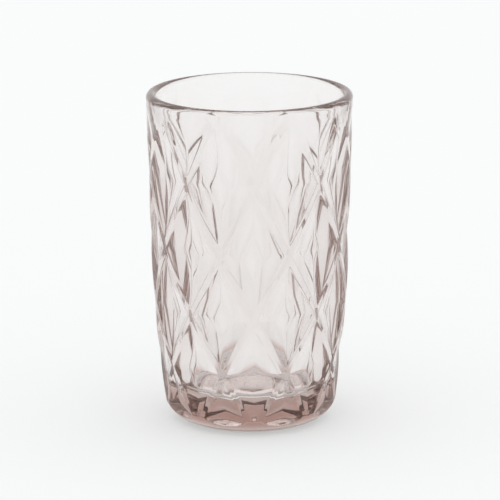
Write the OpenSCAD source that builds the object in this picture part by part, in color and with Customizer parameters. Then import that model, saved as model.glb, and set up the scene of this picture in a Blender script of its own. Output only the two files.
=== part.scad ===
// Pressed-glass highball tumbler with a lattice of long sunken diamonds.
// Millimetres, +Z up. The origin is the middle of the bearing ring, on the table.

/* [Glass] */
// Height from the table to the top of the lip
glass_h = 130; // [115:1:150]
// Outside diameter at the lip
rim_d = 80; // [74:1:90]
// Thickness of the wall at the rounded lip
lip_wall = 4; // [3:0.1:5]
// Height of the plain band from the top of the lip down to the diamonds
rim_band_h = 5; // [4:0.5:10]

/* [Outline] */
// Slope of the straight upper wall, in degrees from upright
upper_taper = 1.43; // [0.5:0.01:2.5]
// Height at which the straight wall turns into the curved lower body
belly_z = 70; // [55:1:85]
// Radius of the long curve of the lower body
belly_curve_r = 540; // [420:10:900]
// Radius of the rounded heel under the body
heel_r = 11.4; // [7:0.1:14]
// How far the heel's arc runs out past the wall, so that they meet in a faint edge
heel_edge = 0.25; // [0.1:0.05:0.6]

/* [Diamonds] */
// Number of diamonds in each row
diamonds_round = 9; // [7:1:12]
// Depth of a diamond's middle below the bands
diamond_depth = 2.45; // [1:0.05:3.4]
// How hollow a diamond's facets are: 0 is flat, 1 a round dish, more a dish with a flat middle
facet_hollow = 1.25; // [0:0.05:1.5]
// Width of the flat bands that cross between the diamonds
band_w = 2.3; // [1:0.1:4]
// Distance from the top of the lip down to the middle of the first full row
first_row_drop = 29.9; // [22:0.1:36]
// Height from the first row's middle to the next row's
row_pitch = 26.9; // [20:0.1:32]
// Each lower pitch as a share of the pitch above it
row_shrink = 0.925; // [0.9:0.005:0.99]
// Height over which the diamonds run out under the rim band
rim_fade_h = 22; // [6:0.5:30]
// Depth of a diamond's middle at the level of the table
foot_depth = 1.2; // [0.5:0.1:3.4]
// Height above the table from which the diamonds have their full depth
foot_fade_h = 44; // [12:1:60]

/* [Inside] */
// Height above the table of the floor's edge under the drink
floor_t = 14.4; // [10:0.1:18]
// Inside diameter just above the floor's rounded corner
cavity_low_d = 54.2; // [48:0.2:58]
// Radius of the rounded corner between the floor and the wall
corner_r = 4.4; // [1:0.1:7]
// Height above the table at which the straight inside starts to flare towards the lip
flare_z = 72; // [50:1:95]
// Slope of the straight inside, in degrees from upright
inside_taper = 2.6; // [1:0.1:4]
// Rise of the domed floor from its edge to its middle
dome_h = 2.1; // [0.5:0.1:4]

/* [Underside] */
// Width of the flat ring that the glass stands on
bearing_w = 2.5; // [1.5:0.1:6]
// Height of the shallow hollow inside the bearing ring
hollow_h = 4.4; // [0.5:0.1:6]
// Width of the slope round the hollow, from the bearing ring to its flat top
hollow_slope_w = 6.6; // [2:0.2:12]

/* [Hidden] */
$fn = 96;
// Segments that a full circle of a long arc would have
long_arc_fn = 1440;
tint = [0.80, 0.66, 0.64, 0.55];
lip_r = lip_wall / 2;
lip_z = glass_h - lip_r;
rim_z = glass_h - rim_band_h;
taper = tan(upper_taper);
belly_r = rim_d / 2 - taper * (lip_z - belly_z);
first_row_z = glass_h - first_row_drop;
cavity_top_r = rim_d / 2 - lip_wall;
cavity_low_r = cavity_low_d / 2;
cavity_low_z = floor_t + corner_r;
flare_r = cavity_low_r + tan(inside_taper) * (flare_z - cavity_low_z);
// The flare's arc leaves the straight inside without a corner and ends at the lip, with a least bow
flare_out = cavity_top_r - flare_r;
flare_h = lip_z - flare_z;
least_bow = 0.5;
flare_bow = max(least_bow, flare_out * cos(inside_taper) - flare_h * sin(inside_taper));
flare_arc_r = (flare_out * flare_out + flare_h * flare_h) / (2 * flare_bow);
flare_arc_x = flare_r + flare_arc_r * cos(inside_taper);
flare_arc_z = flare_z - flare_arc_r * sin(inside_taper);
floor_r = cavity_low_r - corner_r;
dome_arc_r = (floor_r * floor_r + dome_h * dome_h) / (2 * dome_h);
foot_r = wall_r(heel_r) + heel_edge - heel_r;
hollow_r = foot_r - bearing_w;
// Room that a cut reaches past the glass
past = 10;
reach_r = rim_d / 2 + past;

// Radius of the smooth outline that the bands lie on, at height z
function wall_r(z) = z > belly_z
    ? belly_r + taper * (z - belly_z)
    : belly_r - taper * (belly_z - z) - belly_curve_r
        + sqrt(belly_curve_r * belly_curve_r - (belly_z - z) * (belly_z - z));

// Inside radius of the flare at height z
function flare_r_at(z) = flare_arc_x
    - sqrt(flare_arc_r * flare_arc_r - (z - flare_arc_z) * (z - flare_arc_z));

// Height of row w, counted downwards from the first full row
function row_z(w) = first_row_z - row_pitch * (1 - pow(row_shrink, w)) / (1 - row_shrink);

// Row number, with its fraction, at height z
function row_at(z) = ln(1 - (first_row_z - z) * (1 - row_shrink) / row_pitch) / ln(row_shrink);

// Rows that the lattice runs through, from above the rim band to below the table
row_top = floor(row_at(rim_z));
row_low = ceil(row_at(0));
rows = row_low - row_top;

// Half of a band as a share of the distance between two parallel bands
diamond_w = 2 * PI * wall_r(glass_h / 2) / diamonds_round;
diamond_h = 2 * row_pitch * pow(row_shrink, rows / 2 + row_top);
band = band_w / 2 * norm([diamond_w, diamond_h]) / (diamond_w * diamond_h);

// Grid stations across one diamond: band line, band edge, down the facet to the middle and back
facet_steps = 3;
down = [for (k = [0 : facet_steps]) band + (0.5 - band) * k / facet_steps];
stations = concat([0], down, [for (k = [facet_steps - 1 : -1 : 0]) 1 - down[k]]);
steps = len(stations);
turns = diamonds_round * steps;

// The lattice lines run along two crossing directions; k counts stations along one of them
function station(k) = floor(k / steps) + stations[((k % steps) + steps) % steps];

// Share of the way from a band's edge to a diamond's middle at a point between the lines
function inward(p, q) = max(0, (min(p, 1 - p, q, 1 - q) - band) / (0.5 - band));

// Share of the full depth there: a straight slope and the facet's hollow
function sunk(share) = share + facet_hollow * share * (1 - share);

// Depth of a diamond's middle at height z: less near the foot, none at the rim band
function depth_at(z) = max(0, min(
    diamond_depth,
    foot_depth + (diamond_depth - foot_depth) * z / foot_fade_h,
    diamond_depth * (rim_z - z) / rim_fade_h));

// Point of the patterned outside where station i of one direction meets station j of the other
function lattice_point(i, j) =
    let (s = station(i), t = station(j))
    let (z = row_z(t - s), turn = 180 / diamonds_round * (s + t))
    let (r = wall_r(z) - depth_at(z) * sunk(inward(s - floor(s), t - floor(t))))
    [r * sin(turn), -r * cos(turn), z];

// Solid with the diamonds on its outside, longer at both ends than the glass
module patterned_solid() {
    first = row_top * steps;
    last = row_low * steps;
    ring = last - first + 1;
    points = [for (i = [0 : turns - 1]) for (k = [first : last]) lattice_point(i, i + k)];
    function at(i, k) = (i % turns) * ring + k - first;
    // A crease runs down each diamond's middle, so the cells on it are cut the upright way
    function upright(i, k) = (((2 * i + k) % steps) + steps) % steps == steps - 1;
    cells = [for (i = [0 : turns - 1]) for (k = [first + 1 : last - 1])
        for (face = upright(i, k)
            ? [[at(i, k), at(i + 1, k - 1), at(i, k + 1)], [at(i + 1, k - 1), at(i + 1, k), at(i, k + 1)]]
            : [[at(i, k), at(i + 1, k - 1), at(i + 1, k)], [at(i, k), at(i + 1, k), at(i, k + 1)]])
            face];
    top_edge = [for (i = [0 : turns - 1]) [at(i, first), at(i + 1, first), at(i, first + 1)]];
    low_edge = [for (i = [0 : turns - 1]) [at(i, last), at(i + 1, last - 1), at(i + 1, last)]];
    top_cap = [[for (i = [turns - 1 : -1 : 0]) at(i, first)]];
    low_cap = [[for (i = [0 : turns - 1]) at(i, last)]];
    polyhedron(points, concat(cells, top_edge, low_edge, top_cap, low_cap));
}

// Flare of the drink space, from its straight part up to the lip
module flare() {
    rotate_extrude()
        difference() {
            translate([0, flare_z])
                square([reach_r, flare_h]);
            translate([flare_arc_x, flare_arc_z])
                circle(r = flare_arc_r, $fn = long_arc_fn);
        }
}

// Drink space: a cone with a rounded floor corner and a flare, open at the top
module cavity() {
    flare();
    translate([0, 0, cavity_low_z])
        cylinder(h = flare_z - cavity_low_z, r1 = cavity_low_r, r2 = flare_r);
    translate([0, 0, floor_t])
        cylinder(h = corner_r, r = floor_r);
    rotate_extrude()
        translate([floor_r, cavity_low_z])
            circle(r = corner_r);
}

// Low dome in the middle of the floor
module floor_dome() {
    rotate_extrude()
        intersection() {
            translate([0, floor_t])
                square([floor_r, dome_h]);
            translate([0, floor_t + dome_h - dome_arc_r])
                circle(r = dome_arc_r, $fn = long_arc_fn);
        }
}

// Ring of space outside the rounded heel, down past the table
module heel_cut() {
    rotate_extrude()
        difference() {
            translate([foot_r, -past])
                square([heel_r + past, heel_r + past]);
            translate([foot_r, heel_r])
                circle(r = heel_r);
        }
}

// Plain rounded lip and the smooth band under it
module rim() {
    color(tint) {
        difference() {
            translate([0, 0, rim_z])
                cylinder(h = lip_z - rim_z, r1 = wall_r(rim_z), r2 = rim_d / 2);
            translate([0, 0, rim_z])
                cylinder(h = lip_z - rim_z, r1 = flare_r_at(rim_z), r2 = cavity_top_r);
        }
        rotate_extrude()
            translate([rim_d / 2 - lip_r, lip_z])
                circle(r = lip_r);
    }
}

// Wall with the sunken diamonds, from the floor's level up to the rim band
module diamond_wall() {
    color(tint)
        difference() {
            intersection() {
                patterned_solid();
                translate([0, 0, floor_t])
                    cylinder(h = rim_z - floor_t, r = reach_r);
            }
            cavity();
        }
}

// Thick foot under the drink, with the domed floor, the rounded heel and the hollow underside
module base() {
    color(tint) {
        difference() {
            intersection() {
                patterned_solid();
                cylinder(h = floor_t, r = reach_r);
            }
            heel_cut();
            cylinder(h = hollow_h, r1 = hollow_r, r2 = hollow_r - hollow_slope_w);
        }
        floor_dome();
    }
}

rim();
diamond_wall();
base();
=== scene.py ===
"""Pressed-glass highball tumbler with long sunken diamonds, on a pale studio floor.

The tumbler is one pressing, so it is one closed surface here: a grid of rings that runs from the
middle of the underside over the bearing ring, the heel, the patterned wall and the lip to the
middle of the floor inside. Lengths of the glass are millimetres in its classes and metres in its
mesh. The studio and the camera are in metres.
"""

import logging
import math
from dataclasses import dataclass, field
from enum import Enum

import bpy
import numpy as np
from mathutils import Matrix, Vector


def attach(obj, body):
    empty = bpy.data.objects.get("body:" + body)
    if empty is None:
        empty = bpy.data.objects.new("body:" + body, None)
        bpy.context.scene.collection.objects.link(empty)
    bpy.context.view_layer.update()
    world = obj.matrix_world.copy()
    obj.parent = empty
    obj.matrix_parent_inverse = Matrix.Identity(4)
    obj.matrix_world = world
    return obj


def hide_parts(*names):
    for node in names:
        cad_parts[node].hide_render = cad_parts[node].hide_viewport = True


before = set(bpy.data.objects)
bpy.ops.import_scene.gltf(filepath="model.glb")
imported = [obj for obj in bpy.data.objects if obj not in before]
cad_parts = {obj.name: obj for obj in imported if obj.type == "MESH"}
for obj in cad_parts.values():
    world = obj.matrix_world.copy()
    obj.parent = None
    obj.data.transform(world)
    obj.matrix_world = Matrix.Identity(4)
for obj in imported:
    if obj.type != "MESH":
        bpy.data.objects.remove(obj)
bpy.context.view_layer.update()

LOG = logging.getLogger("tumbler")
MM = 0.001
QUARTER_TURN = math.pi / 2.0
FULL_TURN = 2.0 * math.pi
# Radius of the innermost rings, in millimetres; a fan of triangles closes the surface inside them
MIDDLE_RADIUS = 3.0
# The Mix node has its own sockets for each kind of data; these are the ones for colours
MIX_FIRST, MIX_SECOND, MIX_RESULT = 6, 7, 2

Color = tuple[float, float, float]
Span = tuple[float, float]


class Zone(Enum):
    """Zones of the one pressing, by the names of their CAD nodes."""

    RIM = "rim"
    WALL = "diamond_wall"
    BASE = "base"


class Socket(Enum):
    """Shader sockets that are set or linked by name."""

    BASE_COLOR = "Base Color"
    ROUGHNESS = "Roughness"
    NORMAL = "Normal"
    IOR = "IOR"
    TRANSMISSION = "Transmission Weight"
    SPECULAR = "Specular IOR Level"


class Operation(Enum):
    """Operations of the Math node."""

    LARGER = "MAXIMUM"
    PRODUCT = "MULTIPLY"


def in_metres(span: Span) -> Span:
    """Span of millimetres in metres."""
    return span[0] * MM, span[1] * MM


def steps_after(start: float, stop: float, count: int) -> np.ndarray:
    """Values after each of count even steps from start to stop."""
    return np.linspace(start, stop, count + 1)[1:]


def smoothstep(low: float, high: float, value: np.ndarray) -> np.ndarray:
    """Cubic ramp.

    Args:
        low: value at which the ramp leaves 0.
        high: value at which it reaches 1.
        value: where it is read.

    Returns:
        t * t * (3 - 2 t), with t the share of the way from low to high, held between 0 and 1.
    """
    share = np.clip((value - low) / (high - low), 0.0, 1.0)
    return share * share * (3.0 - 2.0 * share)


def new_material(name: str) -> tuple[bpy.types.Material, bpy.types.NodeTree, bpy.types.Node]:
    """Makes a node material.

    Args:
        name: the material's name.

    Returns:
        The material, its node tree and its Principled shader.
    """
    material = bpy.data.materials.new(name)
    material.use_nodes = True
    tree = material.node_tree
    return material, tree, tree.nodes["Principled BSDF"]


def add_ramp(
    tree: bpy.types.NodeTree, source: bpy.types.NodeSocket, span: Span, ends: Span
) -> bpy.types.NodeSocket:
    """Adds a smooth ramp.

    Args:
        tree: the node tree that takes it.
        source: the value that is ramped.
        span: values of the source at which the ramp starts and stops.
        ends: what the ramp gives there.

    Returns:
        The ramp's output.
    """
    ramp = tree.nodes.new("ShaderNodeMapRange")
    ramp.interpolation_type = "SMOOTHSTEP"
    for name, value in zip(("From Min", "From Max", "To Min", "To Max"), (*span, *ends)):
        ramp.inputs[name].default_value = value
    tree.links.new(source, ramp.inputs["Value"])
    return ramp.outputs["Result"]


def add_height(tree: bpy.types.NodeTree, place: bpy.types.NodeSocket) -> bpy.types.NodeSocket:
    """Adds the upright part of a place or direction.

    Args:
        tree: the node tree that takes it.
        place: coordinates.

    Returns:
        Their Z.
    """
    split = tree.nodes.new("ShaderNodeSeparateXYZ")
    tree.links.new(place, split.inputs["Vector"])
    return split.outputs["Z"]


def add_mix(
    tree: bpy.types.NodeTree, share: bpy.types.NodeSocket, none: Color, full: Color
) -> bpy.types.NodeSocket:
    """Adds a mix of two colours.

    Args:
        tree: the node tree that takes it.
        share: how much of the second colour there is.
        none: colour where the share is 0.
        full: colour where it is 1.

    Returns:
        The mixed colour.
    """
    mix = tree.nodes.new("ShaderNodeMix")
    mix.data_type = "RGBA"
    mix.inputs[MIX_FIRST].default_value = (*none, 1.0)
    mix.inputs[MIX_SECOND].default_value = (*full, 1.0)
    tree.links.new(share, mix.inputs["Factor"])
    return mix.outputs[MIX_RESULT]


def add_math(
    tree: bpy.types.NodeTree,
    operation: Operation,
    first: bpy.types.NodeSocket,
    second: bpy.types.NodeSocket | float,
) -> bpy.types.NodeSocket:
    """Adds an operation on two values.

    Args:
        tree: the node tree that takes it.
        operation: what is done with them.
        first: the first value.
        second: the second value, a socket or a number.

    Returns:
        The result.
    """
    node = tree.nodes.new("ShaderNodeMath")
    node.operation = operation.value
    tree.links.new(first, node.inputs[0])
    if isinstance(second, float):
        node.inputs[1].default_value = second
    else:
        tree.links.new(second, node.inputs[1])
    return node.outputs[0]


def link_mesh(name: str, points: np.ndarray, faces: np.ndarray) -> bpy.types.Object:
    """Puts a triangle or quad mesh into the scene, smooth shaded, at the origin.

    Args:
        name: the object's name.
        points: one row of x, y and z per vertex, in metres.
        faces: one row of vertex numbers per face, counter-clockwise from outside.

    Returns:
        The new object.
    """
    mesh = bpy.data.meshes.new(name)
    corners = faces.shape[1]
    mesh.vertices.add(len(points))
    mesh.vertices.foreach_set("co", points.astype(np.float32).ravel())
    mesh.loops.add(faces.size)
    mesh.loops.foreach_set("vertex_index", faces.astype(np.int32).ravel())
    mesh.polygons.add(len(faces))
    mesh.polygons.foreach_set("loop_start", np.arange(0, faces.size, corners, dtype=np.int32))
    mesh.polygons.foreach_set("use_smooth", np.ones(len(faces), bool))
    mesh.update(calc_edges=True)
    mesh.validate()
    piece = bpy.data.objects.new(name, mesh)
    bpy.context.scene.collection.objects.link(piece)
    return piece


@dataclass(frozen=True)
class Outline:
    """Smooth outer outline that the bands lie on."""

    height: float = 130.0
    rim_radius: float = 40.0
    lip_radius: float = 2.0
    rim_band: float = 5.0
    taper_degrees: float = 1.43
    belly_z: float = 70.0
    belly_curve: float = 540.0
    heel_radius: float = 11.4
    heel_edge: float = 0.25

    @property
    def lip_z(self) -> float:
        """Height of the middle of the lip's round."""
        return self.height - self.lip_radius

    @property
    def rim_z(self) -> float:
        """Height at which the plain rim band starts."""
        return self.height - self.rim_band

    @property
    def foot_radius(self) -> float:
        """Radius at which the heel's arc meets the table."""
        wall = float(self.wall_radius(np.array(self.heel_radius)))
        return wall + self.heel_edge - self.heel_radius

    def wall_radius(self, z: np.ndarray) -> np.ndarray:
        """Radius of the outline: a straight taper above the belly height and a long arc below it.

        Args:
            z: heights.

        Returns:
            The radius at each height.
        """
        slope = math.tan(math.radians(self.taper_degrees))
        belly = self.rim_radius - slope * (self.lip_z - self.belly_z)
        below = np.clip(self.belly_z - z, 0.0, None)
        sag = self.belly_curve - np.sqrt(self.belly_curve**2 - below**2)
        return belly + slope * (z - self.belly_z) - sag

    def heel_limit(self, z: np.ndarray) -> np.ndarray:
        """Radius of the heel's quarter arc at each height, and a wide limit above the heel.

        Args:
            z: heights.

        Returns:
            Foot radius plus the arc's reach, which is the root of heel radius squared less the
            squared distance below the arc's middle.
        """
        below = np.clip(self.heel_radius - z, 0.0, self.heel_radius)
        arc = self.foot_radius + np.sqrt(self.heel_radius**2 - below**2)
        return np.where(z < self.heel_radius, arc, np.inf)


@dataclass(frozen=True)
class DiamondLattice:
    """Two crossing sets of bands with four hollow facets sunk into each diamond between them.

    Steps are the grid's columns across half a diamond, and band_steps those across half a band.
    """

    around: int = 9
    first_row_z: float = 100.1
    pitch: float = 26.9
    shrink: float = 0.925
    depth: float = 2.45
    facet_hollow: float = 1.25
    foot_depth: float = 1.2
    foot_fade: float = 44.0
    rim_fade: float = 22.0
    steps: int = 20
    band_steps: int = 2

    @property
    def band(self) -> float:
        """Half of a band as a share of the distance between two parallel bands."""
        return self.band_steps / (2 * self.steps)

    def row_height(self, row: np.ndarray) -> np.ndarray:
        """Height of a row, counted downwards from the first full row.

        Args:
            row: row numbers, with fractions.

        Returns:
            The first row's height less the sum of pitches that shrink by one ratio from row to row.
        """
        return self.first_row_z - self.pitch * (1.0 - self.shrink**row) / (1.0 - self.shrink)

    def row_at(self, z: np.ndarray) -> np.ndarray:
        """Row number at a height, the inverse of row_height.

        Args:
            z: heights.

        Returns:
            Row numbers, with fractions.
        """
        left = 1.0 - (self.first_row_z - z) * (1.0 - self.shrink) / self.pitch
        return np.log(left) / math.log(self.shrink)

    def step_at(self, z: float) -> float:
        """Grid steps from the first full row down to a height, with their fraction."""
        return float(self.row_at(np.array(z))) * self.steps

    def depth_at(self, z: np.ndarray, rim_z: float) -> np.ndarray:
        """Depth of a diamond's middle: less near the foot and none at the rim band.

        Args:
            z: heights.
            rim_z: height of the rim band's lower edge.

        Returns:
            The least of the full depth, a ramp up from the foot and a ramp down to the rim band.
        """
        foot = self.foot_depth + (self.depth - self.foot_depth) * z / self.foot_fade
        rim = self.depth * (rim_z - z) / self.rim_fade
        return np.clip(np.minimum(foot, rim), 0.0, self.depth)

    def sunk(self, turn: np.ndarray, row: np.ndarray) -> np.ndarray:
        """Share of the full depth at a point of the lattice.

        Args:
            turn: place round the glass, counted in diamonds.
            row: row numbers, with fractions.

        Returns:
            A straight slope plus the facet's hollow, share + hollow * share * (1 - share), where
            share is the distance to the nearest band on the way to the diamond's middle: 0 on a
            band, 1 in the middle.
        """
        one = (turn - row / 2.0) % 1.0
        other = (turn + row / 2.0) % 1.0
        near = np.minimum(np.minimum(one, 1.0 - one), np.minimum(other, 1.0 - other))
        share = np.clip((near - self.band) / (0.5 - self.band), 0.0, 1.0)
        return share + self.facet_hollow * share * (1.0 - share)


@dataclass(frozen=True)
class GlassFinish:
    """Pale pink-brown glass, tinted through, with the faint waves of a fire-polished skin.

    Density is per metre of glass and the waves' height is in metres. The spans of foot and heel are
    heights in millimetres, between which the painted shade of the foot fades in and out.
    """

    name: str = "tinted_pressed_glass"
    ior: float = 1.5
    absorbed: Color = (0.625, 0.51, 0.47)
    density: float = 28.0
    clear: Color = (1.0, 1.0, 1.0)
    # Deeper tone of the foot: painted shade that darkens the thick base
    foot: Color = (0.71, 0.515, 0.465)
    foot_span: Span = (9.0, 17.0)
    heel_span: Span = (3.0, 7.0)
    wave_scale: float = 70.0
    wave_detail: float = 1.0
    wave_height: float = 0.00006
    wave_strength: float = 0.5
    haze: float = 0.012
    haze_span: Span = (0.45, 0.75)

    def material(self) -> bpy.types.Material:
        """Makes the glass.

        Returns:
            A transmitting material. Its absorption works per metre of glass, so thick parts are
            darker, and its colour turns from clear to a deeper tone down the foot and back to clear
            at the heel: painted shade that darkens the thick base. A slow noise tilts the surface a
            little, and the same noise sets where it is least polished.
        """
        material, tree, shader = new_material(self.name)
        nodes, links = tree.nodes, tree.links
        shader.inputs[Socket.TRANSMISSION.value].default_value = 1.0
        shader.inputs[Socket.IOR.value].default_value = self.ior
        place = nodes.new("ShaderNodeTexCoord").outputs["Object"]
        height = add_height(tree, place)
        # Painted shade: the glass's colour darkens down the foot and clears again at the heel
        above = add_ramp(tree, height, in_metres(self.foot_span), (0.0, 1.0))
        below = add_ramp(tree, height, in_metres(self.heel_span), (1.0, 0.0))
        outside_foot_shade = add_math(tree, Operation.LARGER, above, below)
        foot_shade_color = add_mix(tree, outside_foot_shade, self.foot, self.clear)
        links.new(foot_shade_color, shader.inputs[Socket.BASE_COLOR.value])
        waves = nodes.new("ShaderNodeTexNoise")
        waves.inputs["Scale"].default_value = self.wave_scale
        waves.inputs["Detail"].default_value = self.wave_detail
        links.new(place, waves.inputs["Vector"])
        bump = nodes.new("ShaderNodeBump")
        bump.inputs["Strength"].default_value = self.wave_strength
        bump.inputs["Distance"].default_value = self.wave_height
        links.new(waves.outputs["Fac"], bump.inputs["Height"])
        links.new(bump.outputs["Normal"], shader.inputs[Socket.NORMAL.value])
        polish = add_ramp(tree, waves.outputs["Fac"], self.haze_span, (0.0, self.haze))
        links.new(polish, shader.inputs[Socket.ROUGHNESS.value])
        tint = nodes.new("ShaderNodeVolumeAbsorption")
        tint.inputs["Color"].default_value = (*self.absorbed, 1.0)
        tint.inputs["Density"].default_value = self.density
        links.new(tint.outputs["Volume"], nodes["Material Output"].inputs["Volume"])
        return material


@dataclass(frozen=True)
class PaperFinish:
    """Pale matt paper with a faint cloudy tone."""

    name: str = "pale_paper"
    color: Color = (0.872, 0.877, 0.880)
    cloud: float = 0.97
    cloud_scale: float = 3.0
    roughness: float = 0.9
    specular: float = 0.1
    white: Color = (0.947, 0.962, 0.958)
    white_share: float = 0.38

    def material(self) -> bpy.types.Material:
        """Makes the paper.

        Returns:
            A matt material whose colour drifts by a few hundredths in a slow noise. Seen straight,
            in a reflection or through glass it is part plain white, so its shadow is faint.
        """
        material, tree, shader = new_material(self.name)
        nodes, links = tree.nodes, tree.links
        clouds = nodes.new("ShaderNodeTexNoise")
        clouds.inputs["Scale"].default_value = self.cloud_scale
        links.new(nodes.new("ShaderNodeTexCoord").outputs["Object"], clouds.inputs["Vector"])
        dim = tuple(self.cloud * part for part in self.color)
        tone = add_mix(tree, clouds.outputs["Fac"], dim, self.color)
        links.new(tone, shader.inputs[Socket.BASE_COLOR.value])
        shader.inputs[Socket.ROUGHNESS.value].default_value = self.roughness
        shader.inputs[Socket.SPECULAR.value].default_value = self.specular
        path = nodes.new("ShaderNodeLightPath").outputs
        seen = add_math(tree, Operation.LARGER, path["Is Camera Ray"], path["Is Glossy Ray"])
        seen = add_math(tree, Operation.LARGER, seen, path["Is Transmission Ray"])
        white = nodes.new("ShaderNodeEmission")
        white.inputs["Color"].default_value = (*self.white, 1.0)
        mix = nodes.new("ShaderNodeMixShader")
        links.new(add_math(tree, Operation.PRODUCT, seen, self.white_share), mix.inputs[0])
        links.new(shader.outputs[0], mix.inputs[1])
        links.new(white.outputs[0], mix.inputs[2])
        links.new(mix.outputs[0], nodes["Material Output"].inputs["Surface"])
        return material


@dataclass(frozen=True)
class Cavity:
    """Drink space: a domed floor, a rounded corner, a straight taper and a flare up to the lip."""

    floor_z: float = 14.4
    dome: float = 2.1
    low_radius: float = 27.1
    corner_radius: float = 4.4
    taper_degrees: float = 2.6
    flare_z: float = 72.0
    flare_rings: int = 16
    taper_rings: int = 8
    corner_rings: int = 10
    floor_rings: int = 8

    @property
    def floor_radius(self) -> float:
        """Radius of the floor inside its rounded corner."""
        return self.low_radius - self.corner_radius

    @property
    def corner_z(self) -> float:
        """Height at which the corner's round ends and the taper starts."""
        return self.floor_z + self.corner_radius

    def flare(self, top_radius: float, top_z: float) -> tuple[np.ndarray, np.ndarray]:
        """Flare from the lip down to the taper.

        Args:
            top_radius: inside radius at the lip.
            top_z: height of the lip's middle.

        Returns:
            Radii and heights on an arc that leaves the taper without a corner. Its radius is the
            squared chord over twice the chord's bow away from the taper's line.
        """
        lean = math.radians(self.taper_degrees)
        start = self.low_radius + math.tan(lean) * (self.flare_z - self.corner_z)
        out, rise = top_radius - start, top_z - self.flare_z
        arc = (out**2 + rise**2) / (2.0 * (out * math.cos(lean) - rise * math.sin(lean)))
        middle_radius, middle_z = start + arc * math.cos(lean), self.flare_z - arc * math.sin(lean)
        heights = steps_after(top_z, self.flare_z, self.flare_rings)
        return middle_radius - np.sqrt(arc**2 - (heights - middle_z) ** 2), heights

    def profile(self, top_radius: float, top_z: float) -> tuple[np.ndarray, np.ndarray]:
        """Whole inside below the lip.

        Args:
            top_radius: inside radius at the lip.
            top_z: height of the lip's middle.

        Returns:
            Radii and heights down the flare and the taper, round the corner's quarter circle and in
            over the floor, which rises to its middle by a parabola.
        """
        flare_radii, flare_heights = self.flare(top_radius, top_z)
        taper_heights = steps_after(self.flare_z, self.corner_z, self.taper_rings)
        taper_radii = steps_after(flare_radii[-1], self.low_radius, self.taper_rings)
        bend = steps_after(0.0, QUARTER_TURN, self.corner_rings)
        bend_radii = self.floor_radius + self.corner_radius * np.cos(bend)
        bend_heights = self.corner_z - self.corner_radius * np.sin(bend)
        floor_radii = steps_after(self.floor_radius, MIDDLE_RADIUS, self.floor_rings)
        floor_heights = self.floor_z + self.dome * (1.0 - (floor_radii / self.floor_radius) ** 2)
        radii = np.concatenate([flare_radii, taper_radii, bend_radii, floor_radii])
        return radii, np.concatenate([flare_heights, taper_heights, bend_heights, floor_heights])


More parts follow.
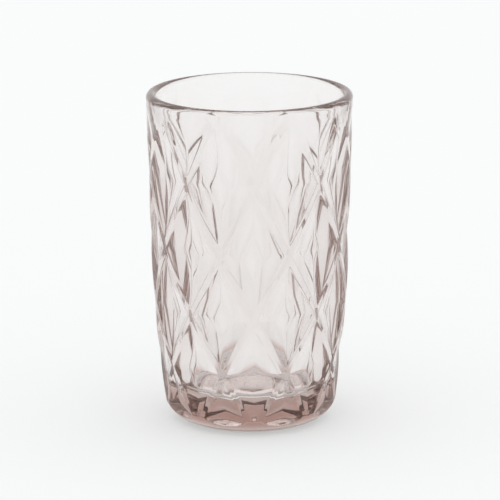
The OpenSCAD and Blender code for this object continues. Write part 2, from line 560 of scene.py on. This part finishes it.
@dataclass
class Tumbler:
    """The pressed glass, from the bearing ring to the floor inside."""

    outline: Outline = field(default_factory=Outline)
    lattice: DiamondLattice = field(default_factory=DiamondLattice)
    cavity: Cavity = field(default_factory=Cavity)
    finish: GlassFinish = field(default_factory=GlassFinish)
    bearing_width: float = 2.5
    hollow_height: float = 4.4
    hollow_slope: float = 6.6
    knurls: int = 108
    knurl_depth: float = 0.35
    flat_rings: int = 4
    slope_rings: int = 7
    bearing_rings: int = 7
    heel_rings: int = 29
    band_rings: int = 4
    lip_rings: int = 18
    slot: str = "tinted_glass"
    name: str = "tumbler_glass"

    @property
    def columns(self) -> int:
        """Columns round the glass: whole steps across each half diamond."""
        return 2 * self.lattice.around * self.lattice.steps

    @property
    def angles(self) -> np.ndarray:
        """Angle of each column round the glass, from the front."""
        return FULL_TURN * np.arange(self.columns) / self.columns

    @property
    def turns(self) -> np.ndarray:
        """Place of each column round the glass, counted in diamonds from the front."""
        return np.arange(self.columns) * self.lattice.around / self.columns

    def rings(self, radii: np.ndarray, heights: np.ndarray) -> np.ndarray:
        """Plain rings that are the same all round.

        Args:
            radii: one radius per ring.
            heights: one height per ring.

        Returns:
            An array of rings by columns by (radius, height).
        """
        pair = np.stack([radii, heights], axis=-1)
        return np.repeat(pair[:, None, :], self.columns, axis=1)

    def underside(self) -> np.ndarray:
        """Hollow underside and knurled bearing ring.

        Returns:
            Rings from the hollow's flat middle down its slope, which is a cubic ramp, and over the
            bearing ring, which is lifted by half a cosine wave per knurl, strongest mid-way.
        """
        inner = self.outline.foot_radius - self.bearing_width
        flat = inner - self.hollow_slope
        flat_radii = np.linspace(MIDDLE_RADIUS, flat, self.flat_rings)
        radii = np.concatenate([flat_radii, steps_after(flat, inner, self.slope_rings)])
        heights = self.hollow_height * (1.0 - smoothstep(flat, inner, radii))
        dish = self.rings(radii, heights)
        ring_radii = steps_after(inner, self.outline.foot_radius, self.bearing_rings + 1)[:-1]
        ring = self.rings(ring_radii, np.zeros_like(ring_radii))
        share = (ring_radii - inner) / self.bearing_width
        wave = 0.5 - 0.5 * np.cos(self.knurls * self.angles)
        ring[:, :, 1] = self.knurl_depth * np.sin(math.pi * share)[:, None] * wave[None, :]
        return np.concatenate([dish, ring])

    def outside(self) -> np.ndarray:
        """Heel, patterned wall and plain rim band.

        Returns:
            Rings upwards. Radius is the outline less the lattice's depth, and never more than the
            heel's arc. Above the heel the rings lie on whole steps of the lattice, so creases
            follow them.
        """
        bend = np.linspace(0.0, QUARTER_TURN, self.heel_rings + 1)[:-1]
        heel = self.outline.heel_radius * (1.0 - np.cos(bend))
        low = math.floor(self.lattice.step_at(self.outline.heel_radius))
        high = math.ceil(self.lattice.step_at(self.outline.rim_z))
        wall = self.lattice.row_height(np.arange(low, high - 1, -1) / self.lattice.steps)
        band = np.linspace(self.outline.rim_z, self.outline.lip_z, self.band_rings)
        z = np.concatenate([heel, wall, band])[:, None]
        rows = self.lattice.row_at(z)
        sunk = self.lattice.sunk(self.turns[None, :], rows)
        radius = self.outline.wall_radius(z) - self.lattice.depth_at(z, self.outline.rim_z) * sunk
        radius = np.minimum(radius, self.outline.heel_limit(z))
        return np.stack([radius, np.broadcast_to(z, radius.shape)], axis=-1)

    def inside(self) -> np.ndarray:
        """Rounded lip and drink space.

        Returns:
            Rings over the lip's half circle and down the cavity's profile to the floor's middle.
        """
        lip = steps_after(0.0, math.pi, self.lip_rings)
        lip_radii = self.outline.rim_radius - self.outline.lip_radius * (1.0 - np.cos(lip))
        lip_heights = self.outline.lip_z + self.outline.lip_radius * np.sin(lip)
        top = self.outline.rim_radius - 2.0 * self.outline.lip_radius
        radii, heights = self.cavity.profile(top, self.outline.lip_z)
        all_radii = np.concatenate([lip_radii, radii])
        return self.rings(all_radii, np.concatenate([lip_heights, heights]))

    def faces(self, grid: np.ndarray) -> np.ndarray:
        """Triangles of the closed grid.

        Args:
            grid: rings by columns by (radius, height).

        Returns:
            Two triangles per cell, cut along the bands where the grid carries the lattice, and a
            fan at each of the two middles, whose vertices come after the grid's.
        """
        count, columns = grid.shape[:2]
        ring = np.arange(count - 1)[:, None]
        column = np.arange(columns)[None, :]
        after = (column + 1) % columns
        a, b = ring * columns + column, ring * columns + after
        c, d = b + columns, a + columns
        rows = self.lattice.row_at(np.clip(grid[:, 0, 1], 0.0, self.outline.rim_z))
        cell_row = np.floor((rows[:-1] + rows[1:]) / 2.0)[:, None]
        cell_column = np.floor(column / self.lattice.steps)
        falling = (cell_column - cell_row) % 2 == 0
        first = np.where(falling[..., None], np.stack([a, b, d], -1), np.stack([a, b, c], -1))
        second = np.where(falling[..., None], np.stack([b, c, d], -1), np.stack([a, c, d], -1))
        low = np.full(columns, count * columns)
        near, far = np.arange(columns), (np.arange(columns) + 1) % columns
        last = (count - 1) * columns
        bottom = np.stack([low, far, near], -1)
        floor = np.stack([last + near, last + far, low + 1], -1)
        return np.concatenate([first.reshape(-1, 3), second.reshape(-1, 3), bottom, floor])

    def build(self) -> bpy.types.Object:
        """Builds the closed surface.

        Returns:
            The glass. A point stands at radius times (sine, minus cosine) of its angle, so that a
            crossing of the bands faces the front.
        """
        grid = np.concatenate([self.underside(), self.outside(), self.inside()])
        x, y = grid[..., 0] * np.sin(self.angles), -grid[..., 0] * np.cos(self.angles)
        points = np.stack([x, y, grid[..., 1]], axis=-1).reshape(-1, 3)
        floor_z = self.cavity.floor_z + self.cavity.dome
        middles = np.array([[0.0, 0.0, self.hollow_height], [0.0, 0.0, floor_z]])
        return link_mesh(self.name, np.concatenate([points, middles]) * MM, self.faces(grid))

    def dress(self, glass: bpy.types.Object) -> None:
        """Gives the glass its finish and lets it stand for the CAD zones.

        Args:
            glass: the built surface.
        """
        glass.data.materials.append(self.finish.material())
        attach(glass, "root")
        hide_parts(*(zone.value for zone in Zone))


@dataclass
class Studio:
    """Pale floor and white surroundings that are a little brighter overhead."""

    paper: PaperFinish = field(default_factory=PaperFinish)
    floor_radius: float = 2.4
    opening_radius: float = 0.02
    floor_rings: int = 24
    floor_columns: int = 96
    white: float = 1.0
    overhead: float = 1.2
    overhead_span: Span = (0.3, 0.9)

    def floor(self) -> bpy.types.Object:
        """Lays the floor.

        Returns:
            A flat disc: radius times (cosine, sine) on rings and columns, at the table's height. It
            is open under the hollow of the glass, so that light reaches the underside.
        """
        columns = self.floor_columns
        radii = np.linspace(self.opening_radius, self.floor_radius, self.floor_rings)
        angle = FULL_TURN * np.arange(columns) / columns
        x, y = radii[:, None] * np.cos(angle), radii[:, None] * np.sin(angle)
        points = np.stack([x, y, np.zeros_like(x)], -1).reshape(-1, 3)
        ring, column = np.meshgrid(np.arange(len(radii) - 1), np.arange(columns), indexing="ij")
        after = (column + 1) % columns
        inner, outer = ring * columns, (ring + 1) * columns
        quads = np.stack([inner + column, outer + column, outer + after, inner + after], -1)
        disc = link_mesh("studio_floor", points, quads.reshape(-1, 4))
        disc.data.materials.append(self.paper.material())
        return disc

    def surround(self) -> bpy.types.World:
        """Makes the white surroundings.

        Returns:
            The world, whose white rises smoothly with the height of the direction.
        """
        world = bpy.data.worlds.new("studio_white")
        world.use_nodes = True
        tree = world.node_tree
        direction = tree.nodes.new("ShaderNodeTexCoord").outputs["Generated"]
        ends = (self.white, self.white * self.overhead)
        level = add_ramp(tree, add_height(tree, direction), self.overhead_span, ends)
        back = tree.nodes["Background"]
        back.inputs["Color"].default_value = (1.0, 1.0, 1.0, 1.0)
        tree.links.new(level, back.inputs["Strength"])
        bpy.context.scene.world = world
        return world


@dataclass(frozen=True)
class PhotoCamera:
    """Long lens at the photograph's angle.

    Distance and height are metres from the glass's axis and from the table, and reach is how far
    it sees.
    """

    distance: float = 1.300
    height: float = 0.3921
    pitch_degrees: float = 14.05
    azimuth_degrees: float = -2.3
    roll_degrees: float = -0.22
    focal_pixels: float = 3432.0
    frame_pixels: int = 500
    sensor: float = 36.0
    reach: float = 100.0

    def build(self) -> bpy.types.Object:
        """Sets the camera.

        Returns:
            The camera, which looks past the axis at its own pitch, from its own azimuth and roll.
        """
        data = bpy.data.cameras.new("photo_camera")
        data.sensor_width = self.sensor
        data.lens = self.focal_pixels * self.sensor / self.frame_pixels
        data.clip_end = self.reach
        camera = bpy.data.objects.new("photo_camera", data)
        bpy.context.scene.collection.objects.link(camera)
        turn = Matrix.Rotation(math.radians(self.azimuth_degrees), 4, "Z")
        place = Matrix.Translation(Vector((0.0, -self.distance, self.height)))
        tilt = Matrix.Rotation(QUARTER_TURN - math.radians(self.pitch_degrees), 4, "X")
        roll = Matrix.Rotation(math.radians(self.roll_degrees), 4, "Z")
        camera.matrix_world = turn @ place @ tilt @ roll
        bpy.context.scene.camera = camera
        return camera


def let_light_through(cycles: bpy.types.bpy_struct, bounces: int = 40) -> None:
    """Lets light cross all the facets of the glass, because light that is stopped shows black.

    Args:
        cycles: the render settings.
        bounces: how often light may be turned or mirrored.
    """
    cycles.max_bounces = bounces
    cycles.glossy_bounces = bounces
    cycles.transmission_bounces = bounces


def main(
    tumbler: Tumbler | None = None, studio: Studio | None = None, camera: PhotoCamera | None = None
) -> None:
    """Builds the glass, its studio and the camera, and reports each piece.

    Args:
        tumbler: the glass, or the standard one.
        studio: the surroundings, or the standard ones.
        camera: the camera, or the standard one.
    """
    logging.basicConfig(level=logging.INFO, format="%(name)s: %(message)s")
    bpy.context.scene.view_settings.view_transform = "Standard"
    let_light_through(bpy.context.scene.cycles)
    studio = studio or Studio()
    studio.surround()
    LOG.info("floor %s", studio.floor().name)
    tumbler = tumbler or Tumbler()
    glass = tumbler.build()
    tumbler.dress(glass)
    LOG.info("glass %s, %d triangles", glass.name, len(glass.data.polygons))
    LOG.info("camera %s", (camera or PhotoCamera()).build().name)


if __name__ == "__main__":
    main()
